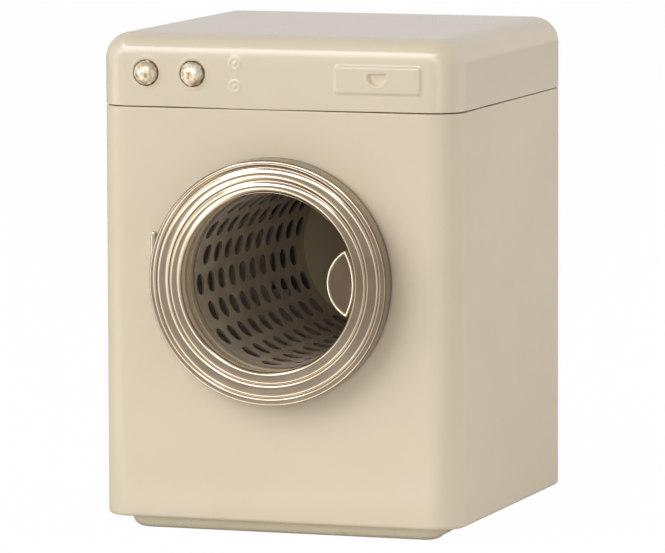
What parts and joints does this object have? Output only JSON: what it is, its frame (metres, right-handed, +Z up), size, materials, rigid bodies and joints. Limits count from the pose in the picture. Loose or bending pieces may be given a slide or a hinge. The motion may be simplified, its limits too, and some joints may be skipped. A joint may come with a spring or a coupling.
{
  "type": "toy washing machine",
  "caption": "Doll's-house front-loading washing machine in cream enamelled tinplate, with a beaded metal porthole door, a perforated turning drum and turning knobs.",
  "frame": {"origin": "on the floor under the middle of the cabinet, in the plane of the plinth's flat underside", "axes": "+Z up, -Y out of the front wall with the door, +X towards the side of the soap drawer front"},
  "size_m": [0.085, 0.0909, 0.113],
  "materials": {
    "enamel": "satin",
    "champagne_metal": "satin",
    "tinned_steel": "satin",
    "brass": "satin",
    "clear_plastic": "gloss",
    "magnet": "satin"
  },
  "bodies": {
    "cabinet": {"cabinet_shell": "enamel", "base_pan": "enamel", "neck_band": "enamel", "lid_shell": "enamel", "port_collar": "enamel", "cabinet_hinge_leaf": "enamel", "hinge_pin": "tinned_steel", "drum_bracket": "tinned_steel", "bearing_bush": "brass"},
    "door": {"door_ring": "champagne_metal", "door_backing": "champagne_metal", "door_window": "clear_plastic", "finger_pull": "champagne_metal", "door_hinge_leaf": "champagne_metal", "door_rivets": "tinned_steel", "door_magnet": "magnet"},
    "drum": {"drum_shell": "tinned_steel", "drum_back": "enamel", "drum_axle": "tinned_steel", "hub_plate": "tinned_steel", "axle_clip": "tinned_steel"},
    "outer_knob": {"outer_knob": "champagne_metal", "outer_knob_nut": "tinned_steel"},
    "inner_knob": {"inner_knob": "champagne_metal", "inner_knob_nut": "tinned_steel"}
  },
  "joints": [
    {"name": "door_hinge", "type": "hinge", "parent": "cabinet", "child": "door", "pos_m": [-0.02875, -0.043, 0.0613], "axis": [0, 0, -1], "range_deg": [0, 100]},
    {"name": "drum_spin", "type": "hinge", "parent": "cabinet", "child": "drum", "pos_m": [0, 0, 0.0584], "axis": [0, 1, 0], "continuous": true},
    {"name": "outer_knob_turn", "type": "hinge", "parent": "cabinet", "child": "outer_knob", "pos_m": [-0.0308, -0.042, 0.1043], "axis": [0, -1, 0], "continuous": true},
    {"name": "inner_knob_turn", "type": "hinge", "parent": "cabinet", "child": "inner_knob", "pos_m": [-0.0197, -0.042, 0.1043], "axis": [0, -1, 0], "continuous": true}
  ]
}
